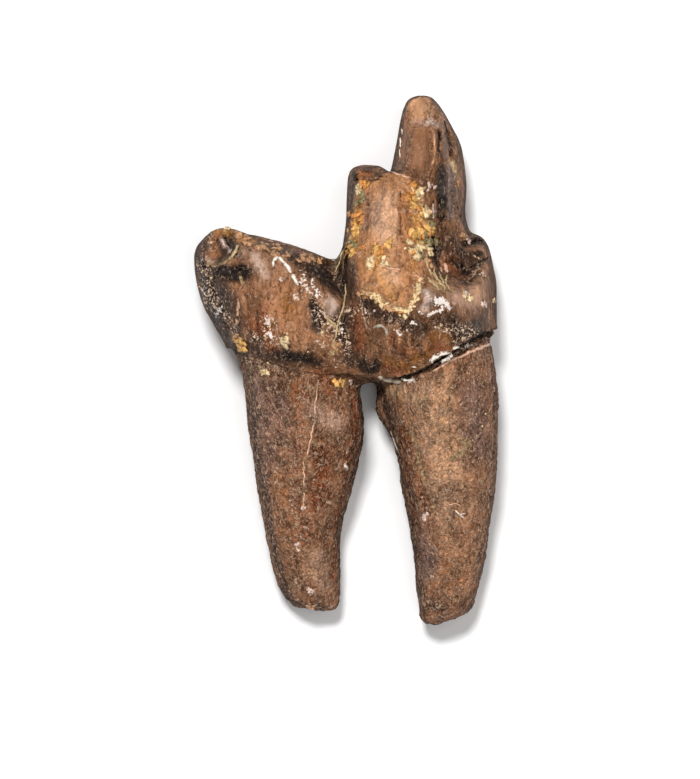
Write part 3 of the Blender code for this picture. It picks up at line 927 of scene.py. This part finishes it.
class Shader:
    """Short ways to lay out a material's nodes. Places in it are in millimetres."""

    def __init__(self, name):
        self.material = bpy.data.materials.new(name)
        self.material.use_nodes = True
        self.tree = self.material.node_tree
        self.surface = self.tree.nodes["Principled BSDF"]
        place = self.tree.nodes.new("ShaderNodeTexCoord").outputs["Object"]
        self.place = self.node("VectorMath", {0: place, 1: (1 / MM,) * 3}, operation="MULTIPLY")

    def node(self, kind, inputs, output=0, **settings):
        made = self.tree.nodes.new("ShaderNode" + kind)
        for name, value in settings.items():
            setattr(made, name, value)
        for name, value in inputs.items():
            self.feed(made.inputs[name], value)
        return made.outputs[output]

    def feed(self, socket, value):
        if isinstance(value, bpy.types.NodeSocket):
            self.tree.links.new(value, socket)
        else:
            socket.default_value = value

    def attribute(self, name, output="Fac"):
        return self.node("Attribute", {}, output, attribute_name=name)

    def noise(self, size, stretch=(1, 1, 1), detail=2.0, rough=0.6, bend=0.0, shift=0.0):
        factors = tuple(value / size for value in stretch)
        spot = self.node("VectorMath", {0: self.place, 1: factors}, operation="MULTIPLY")
        spot = self.node("VectorMath", {0: spot, 1: (shift,) * 3}, operation="ADD")
        inputs = {"Vector": spot, "Scale": 1.0, "Detail": detail, "Roughness": rough, "Distortion": bend}
        return self.node("TexNoise", inputs, "Fac")

    def curls(self, size, stretch, width, shift):
        """Thin curly lines, 1 on a line and 0 between."""
        wander = self.noise(size, stretch, detail=1, rough=0.5, bend=0.8, shift=shift)
        off_line = self.maths("SUBTRACT", wander, 0.5)
        return self.band(self.maths("ABSOLUTE", off_line), 0, width, 1, 0)

    def flakes(self, size, low, shift):
        """Small flakes, longer up the tooth, 1 on a flake and 0 between."""
        spots = self.noise(size, (1, 0.6, 1), detail=3, rough=0.7, bend=1.0, shift=shift)
        return self.band(spots, low, 0.63)

    def maths(self, operation, first, second=0.0):
        return self.node("Math", {0: first, 1: second}, operation=operation)

    def times(self, first, second):
        return self.maths("MULTIPLY", first, second)

    def band(self, value, low, high, out_low=0.0, out_high=1.0):
        """An even S from one level to another as the value goes from low to high."""
        inputs = {"Value": value, "From Min": low, "From Max": high, "To Min": out_low, "To Max": out_high}
        return self.node("MapRange", inputs, interpolation_type="SMOOTHSTEP")

    def mix(self, share, first, second):
        return self.node("Mix", {0: share, 6: first, 7: second}, 2, data_type="RGBA", blend_type="MIX")

    def level(self, share, first, second):
        """A number between two numbers."""
        return self.node("Mix", {0: share, 2: first, 3: second}, 0, data_type="FLOAT")

    def edged(self, mask, wander, amount=2.2, edge=0.10):
        """A soft mask made patchy: its edge wanders with a noise."""
        wandered = self.maths("ADD", mask, self.times(self.maths("SUBTRACT", wander, 0.5), amount))
        return self.times(self.band(wandered, 0.5 - edge, 0.5 + edge), self.band(mask, 0.02, 0.15))

    def finished(self, colour, roughness, height, depth):
        """The material with this surface. The relief's depth is in millimetres."""
        relief = self.node("Bump", {"Height": height, "Distance": depth * MM, "Strength": 1.0})
        for name, value in (("Base Color", colour), ("Roughness", roughness), ("Normal", relief)):
            self.feed(self.surface.inputs[name], value)
        return self.material


def root_surface(shader):
    """Bone's brightness, pale fibres and height: curly fibres and dark pits."""
    mottle = shader.noise(0.30, (1, 0.6, 1), detail=4, rough=0.65, bend=0.3)
    crumb = shader.noise(0.07, (1, 0.7, 1), detail=3, rough=0.7, bend=0.6)
    tone = shader.band(mottle, 0.36, 0.64, 0.60, 1.60)
    tone = shader.times(tone, shader.band(crumb, 0.31, 0.46, 0.36, 1.18))
    curls = shader.curls(0.14, (1, 0.6, 1), 0.070, 13)
    more = shader.curls(0.10, (0.8, 1, 1), 0.070, 29)
    lines = shader.times(shader.maths("MAXIMUM", curls, more), shader.band(crumb, 0.46, 0.56))
    flakes = shader.flakes(0.10, 0.56, 47)
    pale = shader.maths("MAXIMUM", shader.times(lines, 0.6), shader.times(flakes, 0.95))
    return tone, pale, shader.maths("ADD", shader.times(crumb, 1.2), shader.times(flakes, 0.4))


def enamel_surface(shader):
    """Enamel's brightness, pale scratches and height: ribs down the tooth and dark flecks."""
    ribs = shader.noise(0.22, (1, 0.22, 1), detail=3, bend=0.8)
    crumb = shader.noise(0.08, (1, 0.8, 1), detail=3, rough=0.7, bend=0.6, shift=21)
    tone = shader.band(ribs, 0.36, 0.64, 0.60, 1.35)
    tone = shader.times(tone, shader.band(crumb, 0.32, 0.47, 0.28, 1.06))
    scratches = shader.times(shader.curls(0.16, (1, 0.35, 1), 0.035, 33), shader.band(crumb, 0.50, 0.62))
    flakes = shader.flakes(0.09, 0.57, 61)
    pale = shader.maths("MAXIMUM", shader.times(scratches, 0.55), shader.times(flakes, 0.28))
    striae = shader.noise(0.10, (1, 0.15, 1), bend=0.4, shift=9)
    return tone, pale, shader.maths("ADD", shader.times(striae, 0.5), shader.times(crumb, 0.6))


def dentine_surface(shader):
    """The broken face's brightness, pale crumbs and height."""
    fibres = shader.noise(0.22, (1, 0.5, 1), detail=3, rough=0.65, bend=0.8)
    crumb = shader.noise(0.08, (1, 0.8, 1), detail=3, rough=0.7, bend=0.4, shift=17)
    tone = shader.band(fibres, 0.36, 0.60, 0.66, 1.20)
    tone = shader.times(tone, shader.band(crumb, 0.30, 0.42, 0.55, 1.06))
    return tone, shader.band(crumb, 0.54, 0.66, 0, 0.6), shader.maths("ADD", fibres, crumb)


# Painted shade and highlight: the brightness falls in broad valleys, on steep flanks and in small hollows as
# painted shade, and rises on small ridges as a painted highlight. Each row: the mask, its low and high
# value, and the brightness at each
PAINTED_SHADING = [
    ("valley", 0.03, 0.24, 1, 0.26), ("flank", 0, 1, 1, 0.36),
    ("hollow", 0.004, 0.040, 1, 0.10), ("hollow", -0.010, -0.040, 1, 1.6),
]
# The darker and lighter colour of each stain with a crisp edge, in the order they are laid on. The pale
# lines are partly painted highlights.
MARK_COLOURS = {
    "straw": (srgb(128, 98, 66), srgb(216, 184, 138)),
    "orange": (srgb(160, 98, 38), srgb(230, 172, 92)),
    "pale": (srgb(190, 140, 106), srgb(232, 192, 160)),
}
BLACK_COLOURS = srgb(10, 7, 6), srgb(56, 43, 37)
FLAKE_COLOUR = srgb(224, 184, 154)
SPECK_COLOUR = srgb(222, 192, 166)
# The colour of the painted highlights and glints
GLINT_COLOUR = srgb(242, 228, 218)
# The bump's depth in millimetres
TOOTH_BUMP = 0.17


def stains_and_highlights_over(shader, colour, patchy, flecks, grit):
    """The colour with all the stains laid on, and the painted highlights and glints over them."""
    for name, colours in MARK_COLOURS.items():
        mask = shader.edged(shader.attribute(name), patchy)
        tint = shader.mix(shader.band(flecks, 0.34, 0.64), *colours)
        colour = shader.mix(shader.times(mask, 0.85), colour, tint)
    # Black: dark pits and patches, partly painted shade along carved lines
    black = shader.edged(shader.attribute("black"), patchy, 1.2)
    colour = shader.mix(shader.times(black, 0.94), colour, shader.mix(flecks, *BLACK_COLOURS))
    # Pale specks: grains, and partly painted glints
    specks = shader.times(shader.band(shader.attribute("specks"), 0.1, 0.8), shader.band(grit, 0.55, 0.60))
    colour = shader.mix(specks, colour, SPECK_COLOUR)
    # The painted highlights and glints go on last
    return shader.mix(shader.edged(shader.attribute("white"), grit, 2.4), colour, GLINT_COLOUR)


def tooth_material():
    shader = Shader("fossil_tooth")
    patchy = shader.noise(0.12, (1, 0.8, 1), detail=5, rough=0.8, bend=0.6)
    flecks = shader.noise(0.055, (1, 0.8, 1), rough=0.7, bend=0.5, shift=5)
    grit = shader.noise(0.06, bend=0.3, shift=11)
    enamel = shader.attribute("enamel")
    broken = shader.attribute("broken")
    surfaces = zip(root_surface(shader), enamel_surface(shader), dentine_surface(shader))
    tone, pale, height = [
        shader.level(broken, shader.level(enamel, bone, glaze), dentine) for bone, glaze, dentine in surfaces
    ]
    textured = shader.band(shader.attribute("smooth"), 0.1, 0.8, 1, 0.25)
    tone = shader.level(textured, 1.0, tone)
    # Painted shade in valleys, on flanks and in small hollows, and painted highlight on small ridges
    for name, *levels in PAINTED_SHADING:
        tone = shader.times(tone, shader.band(shader.attribute(name), *levels))
    wash = shader.attribute("wash", "Color")
    colour = shader.node("HueSaturation", {"Color": wash, "Value": tone, "Saturation": 1.06})
    colour = shader.mix(shader.times(pale, textured), colour, FLAKE_COLOUR)
    colour = stains_and_highlights_over(shader, colour, patchy, flecks, grit)
    glossy = shader.band(patchy, 0.3, 0.7, 0.10, 0.34)
    matte = shader.level(enamel, shader.band(flecks, 0.3, 0.7, 0.45, 0.80), glossy)
    matte = shader.level(broken, matte, 0.55)
    matte = shader.level(shader.attribute("flank"), matte, 0.9)
    shader.surface.inputs["Specular IOR Level"].default_value = 0.14
    return shader.finished(colour, matte, shader.times(height, textured), TOOTH_BUMP)


def make_piece(name, mesh, material):
    mesh.transform(Matrix.Scale(MM, 4))
    mesh.shade_smooth()
    mesh.materials.clear()
    mesh.materials.append(material)
    piece = new_object(name, mesh)
    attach(piece, "root")
    return piece


def set_on(skin, x, y, rise):
    """The spot on the cheek side at this place, raised off the skin, and the skin's normal there."""
    place, normal, *_ = skin.tree.ray_cast(Vector((x, y, Skin.FAR)), Vector((0, 0, -1)))
    if place is None:
        place, normal, *_ = skin.tree.find_nearest(Vector((x, y, MIDDLE_LEVEL)))
    return place + rise * normal, normal


def store_colours(mesh, name, colours):
    """Stores one colour a vertex for the material."""
    layer = mesh.attributes.new(name, "FLOAT_COLOR", "POINT")
    layer.data.foreach_set("color", np.array(colours, np.float32).ravel())


def joined(name, parts, tints):
    """One mesh from many points-and-faces parts. Each part has its own colour, kept as 'tint'."""
    points, faces, colours = [], [], []
    for (part_points, part_faces), tint in zip(parts, tints):
        faces += [[corner + len(points) for corner in face] for face in part_faces]
        points += [tuple(point) for point in part_points]
        colours += [tint] * len(part_points)
    mesh = bpy.data.meshes.new(name)
    mesh.from_pydata(points, [], faces)
    store_colours(mesh, "tint", colours)
    return mesh


def tube(places, radii, sides=7):
    """A thin closed tube through the places, as points and faces."""
    points, faces = [], []
    for index, (place, radius) in enumerate(zip(places, radii)):
        ahead = places[min(index + 1, len(places) - 1)] - places[max(index - 1, 0)]
        across = ahead.cross(Vector((0, 0, 1))).normalized()
        up = across.cross(ahead).normalized()
        for side in range(sides):
            turn = 2 * pi * side / sides
            points.append(place + radius * (cos(turn) * across + sin(turn) * up))
    for ring in range(len(places) - 1):
        for side in range(sides):
            here, beside = ring * sides + side, ring * sides + (side + 1) % sides
            faces.append([here, beside, beside + sides, here + sides])
    faces.append(list(range(sides))[::-1])
    faces.append([len(points) - sides + side for side in range(sides)])
    return points, faces


def strand(skin, route, radius, rise, wobble):
    """A thread or a dried trickle along a route on the skin, a little uneven and thin at its ends."""
    places, radii = [], []
    for place, normal, share in skin.laid(route):
        sway = Vector([noise.noise(place * 9 + Vector((shift, 0, 0))) for shift in (0, 7, 14)])
        places.append(place + rise * normal + wobble * sway)
        taper = min(1, 6 * share + 0.3, 6 * (1 - share) + 0.3)
        radii.append(radius * taper * (1 + 0.8 * noise.noise(place * 14)))
    return tube(places, radii)


# A lump's width and length in radii, how deep it sits, and its unevenness: share and coarseness
LUMP_SHAPE = (1.15, 0.9)
LUMP_SEAT = 0.15
LUMP_COARSE = (1.2, 1.2)
LUMP_FINE = (0.6, 2.6)
# From this radius in millimetres on, a lump has a finer mesh
FINE_LUMP = 0.035


def lump(skin, x, y, radius, flat, seed):
    """An uneven grain stuck to the skin, as points and faces."""
    centre, normal = set_on(skin, x, y, LUMP_SEAT * radius)
    turned = normal.to_track_quat("Z", "Y").to_matrix() @ Matrix.Rotation(seed * 2.4, 3, "Z")
    ball = bmesh.new()
    bmesh.ops.create_icosphere(ball, subdivisions=2 if radius > FINE_LUMP else 1, radius=1)
    points = []
    for vertex in ball.verts:
        uneven = 1
        for (share, coarseness), shift in ((LUMP_COARSE, (seed, 0, 0)), (LUMP_FINE, (0, seed, 0))):
            uneven += share * noise.noise(vertex.co * coarseness + Vector(shift))
        way = Vector([part * size for part, size in zip(vertex.co, (*LUMP_SHAPE, flat))])
        points.append(centre + turned @ way * uneven * radius)
    faces = [[vertex.index for vertex in face.verts] for face in ball.faces]
    ball.free()
    return points, faces


# The crust's lumps by colour: x, y and radius, on the cheek side
CRUST = {
    "orange": dots("""
158,404,10 151,383,10 169,357,8 184,300,10 172,314,9 158,312,8 21,338,9 28,324,9 160,253,7 71,227,5
80,255,7 261,415,5 42,411,8 31,270,6 155,394,8 167,293,9
"""),
    "yellow": dots("""
162,368,11 165,302,14 195,307,13 24,310,10 26,293,10 16,300,7 9,265,9 14,255,10 2,253,7 68,260,7
75,248,6 -19,-53,9 -245,27,9 -250,41,8 181,347,12 94,270,8
"""),
    "pale": dots("""
167,394,12 184,352,12 26,399,8 181,265,13 169,260,9 195,258,8 59,230,8 89,237,8 68,149,6 78,140,7
89,128,6 129,114,7 141,112,7 153,124,8 160,138,6 165,152,7 169,166,6 174,180,7 177,192,5 -191,-25,8
-278,314,7 -146,48,10 282,157,7 287,147,7 148,267,8 348,140,5
"""),
    "olive": dots("""
193,324,12 177,288,10 188,284,10 198,272,10 181,244,10 35,387,8 28,371,8 14,277,8 -292,317,6
"""),
    "tan": dots("""
-137,251,6 -28,27,6 -82,-578,6 40,154,7 52,157,7 96,124,8 108,121,7 118,128,6 174,378,9 165,338,10
-167,262,10 -184,265,11 -158,258,7 280,293,6 271,293,5 -259,53,6 -21,36,7 191,232,7 165,244,8
-198,267,9 -101,241,8 -80,237,8 -61,232,8 -235,284,8 -254,293,8
"""),
    "rose": dots("""
202,347,8 198,406,7 -151,189,4 -118,147,4 290,281,5 320,206,5 -85,-543,5 -101,-347,4 -113,-437,6
325,131,6 186,-368,8 12,-51,5
"""),
}
CRUST_COLOURS = {
    "orange": srgb(206, 136, 62), "yellow": srgb(228, 174, 96), "pale": srgb(238, 208, 158),
    "olive": srgb(138, 124, 84), "tan": srgb(190, 142, 100), "rose": srgb(226, 196, 180),
}

# Grains to each lump, and how flat they are
CRUST_HEAP = 6
CRUST_FLAT = 0.32
# Sand grains to each square millimetre of speckled skin, how flat they are, and their least and
# largest radius in millimetres
GRAINS = 34
GRAIN_FLAT = 0.7
GRAIN_SIZES = (0.012, 0.034)

# Threads and dried trickles: colour, radius, rise, wobble and route
STRANDS = table("""
white 3.1 1.9 1.2 -171,218 0,12 5,8 7,4
white 4.2 1.9 1.2 -162,242 9,-5 17,-20 8,-13
white 4 1.9 1.2 -127,201 15,-26
straw 2.1 1.6 2.4 0,180 0,-19 -2,-19 -5,-21 -14,-37 -3,-22 -7,-30
straw 2.1 1.4 2.4 -24,84 -9,4 -9,12
rose 1.8 1.2 2.4 73,222 35,-8 24,-1
grey 3.2 1.4 2.4 64,75 7,6 11,0 10,-7 7,-16
white 1.6 1.2 1.2 257,-352 21,-19
white 1.2 1.2 1.2 266,-361 16,2
rose 1.4 .9 2.4 240,-340 17,5 16,-10
rose 1.8 1.2 2.4 158,199 9,-2 7,-5
rose 1.8 1.2 2.4 153,178 12,-14
straw 2.8 1.4 2.4 -268,241 16,29
straw 2.1 .7 2.4 186,241 5,-21 9,-21
straw 2.8 .7 3.6 200,208 28,-37
straw 2.6 .7 3.6 217,208 9,-21 5,-21
straw 2.1 .7 3.6 238,201 -5,-19 9,-16
straw 2.4 .7 3.6 191,194 11,-14 17,-14
straw 1.6 .7 3.6 205,222 2,-18 17,-24
rose 3.5 .9 2.4 221,220 3,-14
rose 3.9 .9 2.4 231,230 2,-12 5,-12
grey 5.6 .5 2.4 75,-38 19,-6 19,-3 19,-1
white 3.5 .7 2.4 132,-44 12,-2 14,0
white 4.2 .9 2.4 202,-6 -2,7 7,6 10,4
white 2.8 .9 2.4 217,11 11,5 14,3 8,-6 -5,-7
white 3.5 .9 2.4 224,-6 7,6 14,7
white 3.2 .9 2.4 250,25 16,9
white 2.5 .9 2.4 155,-15 10,-1
rose 4.2 .5 2.4 205,-25 40,25 19,7 18,9 22,8 37,17
rose 1.8 .2 3.6 -68,-65 -7,-75
rose 1.8 .2 3.6 -75,-145 -5,-21 -2,-21 -10,-38
rose 1.8 .2 3.6 -99,-234 0,-64
rose 1.8 .2 3.6 -99,-310 0,-18 -2,-22
white 2.1 1.2 2.4 132,545 1,-14
white 1.8 1.2 2.4 129,526 1,-23
white 1.4 1.2 2.4 128,498 -1,-21
rose 1.8 1.2 2.4 106,443 42,-13
white 3.2 1.2 2.4 -5,-244 7,-7 3,-4
grey 1.8 .9 2.4 106,-166 16,-47
straw 1.8 1.2 2.4 -7,258 -7,-26 -10,-24
cream 2.4 .5 4.8 35,154 24,3 12,-8 9,-14 14,-9 33,-12 19,3 9,11 10,17 2,21 7,19
""")
STRAND_COLOURS = {
    "white": srgb(238, 228, 214), "straw": srgb(196, 170, 126), "rose": srgb(224, 176, 146),
    "grey": srgb(170, 156, 138), "cream": srgb(236, 204, 148),
}


# The dirt's finish: its least roughness, the size of its mottle and the depth of its relief
FINISHES = {"crust": (0.24, 0.12, 0.05), "lint": (0.25, 0.09, 0.02), "grains": (0.18, 0.05, 0.01)}


def tinted_material(name, shine, grain_size, depth):
    """A finish whose colour is each part's own, mottled and finely rough."""
    shader = Shader(name)
    mottle = shader.noise(grain_size, detail=3, rough=0.7)
    dark = shader.band(mottle, 0.34, 0.52, 0.6, 0)
    colour = shader.mix(dark, shader.attribute("tint", "Color"), srgb(96, 60, 30))
    return shader.finished(colour, shader.band(mottle, 0.3, 0.7, shine, shine + 0.25), mottle, depth)


def make_dirt(name, parts, tints):
    make_piece(name, joined(name, parts, tints), tinted_material(name, *FINISHES[name]))


def make_crust(skin):
    """Each lump of the crust is a small heap of grains."""
    dice = random.Random(7)
    parts, tints = [], []
    for colour, lumps in CRUST.items():
        for x, y, radius in lumps:
            for _ in range(CRUST_HEAP):
                spot = x + dice.gauss(0, 0.65) * radius, y + dice.gauss(0, 0.75) * radius
                size = radius * dice.uniform(0.35, 0.95)
                place = [UNIT * value for value in (*spot, size)]
                parts.append(lump(skin, *place, CRUST_FLAT, dice.uniform(0, 50)))
                shade = dice.uniform(0.75, 1.15)
                tints.append([min(1, shade * value) for value in CRUST_COLOURS[colour]])
    make_dirt("crust", parts, tints)


def make_lint(skin):
    parts, tints = [], []
    for colour, *sizes, route in STRANDS:
        parts.append(strand(skin, route, *[UNIT * size for size in sizes]))
        tints.append(STRAND_COLOURS[colour])
    make_dirt("lint", parts, tints)


def make_grains(skin):
    """Sand grains, scattered where the skin has pale specks."""
    dice = random.Random(4)
    parts, tints = [], []
    for width, strength, route in STAINS_AND_HIGHLIGHTS["specks"]:
        line = skin.laid(route)
        reach = UNIT * width
        for _ in range(int(GRAINS * strength * (len(line) * Skin.STEP + 2 * reach) * reach)):
            place, *_ = dice.choice(line)
            x, y = place.x + dice.gauss(0, 0.6 * reach), place.y + dice.gauss(0, 0.6 * reach)
            parts.append(lump(skin, x, y, dice.uniform(*GRAIN_SIZES), GRAIN_FLAT, dice.uniform(0, 50)))
            tints.append(CRUST_COLOURS[dice.choice(("rose", "rose", "pale", "tan"))])
    make_dirt("grains", parts, tints)


# The floor, the lights and the camera. Distances are in metres.
FLOOR_SIZE = 4
FLOOR_COLOUR = (0.9, 0.9, 0.9, 1)
FLOOR_ROUGHNESS = 0.8
# Each light's place, size and power
LIGHTS = {
    "key": ((-0.03, 0.10, 0.36), 0.06, 1.25),
    "fill": ((0.08, -0.04, 0.37), 0.25, 0.58),
}
WORLD_STRENGTH = 0.14
PICTURE_HIGH = 779
PIXEL = 0.02354 * MM
SENSOR_WIDTH = 36
CAMERA_DISTANCE = 0.4
CAMERA_LEVEL = MIDDLE_LEVEL * MM
# The picture's middle in the tooth's frame
VIEW_CENTRE = (0.094 * MM, -0.683 * MM)


def make_floor():
    bpy.ops.mesh.primitive_plane_add(size=FLOOR_SIZE, location=(0, 0, 0))
    floor = bpy.context.object
    floor.name = "floor"
    matte = bpy.data.materials.new("floor")
    matte.use_nodes = True
    surface = matte.node_tree.nodes["Principled BSDF"]
    surface.inputs["Base Color"].default_value = FLOOR_COLOUR
    surface.inputs["Roughness"].default_value = FLOOR_ROUGHNESS
    floor.data.materials.append(matte)


def light_scene():
    scene = bpy.context.scene
    scene.world = bpy.data.worlds.new("studio")
    scene.world.use_nodes = True
    background = scene.world.node_tree.nodes["Background"]
    background.inputs["Color"].default_value = (1, 1, 1, 1)
    background.inputs["Strength"].default_value = WORLD_STRENGTH
    for name, (place, size, power) in LIGHTS.items():
        light = bpy.data.lights.new(name, "AREA")
        light.shape = "DISK"
        light.size = size
        light.energy = power
        lamp = new_object(name, light)
        lamp.location = place
        lamp.rotation_mode = "QUATERNION"
        lamp.rotation_quaternion = Vector(place).to_track_quat("Z", "Y")
    scene.view_settings.view_transform = "Standard"


def add_camera():
    camera = bpy.data.cameras.new("camera")
    camera.sensor_width = SENSOR_WIDTH
    camera.lens = SENSOR_WIDTH * CAMERA_DISTANCE / (PICTURE_HIGH * PIXEL)
    camera.clip_start = 0.01
    camera.clip_end = 10
    seen = new_object("camera", camera)
    seen.location = (*VIEW_CENTRE, CAMERA_LEVEL + CAMERA_DISTANCE)
    bpy.context.scene.camera = seen


def main():
    skin = tooth_skin()
    tooth = make_piece("tooth", skin.mesh, tooth_material())
    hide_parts(TOOTH)
    make_crust(skin)
    make_lint(skin)
    make_grains(skin)
    make_floor()
    light_scene()
    add_camera()


main()
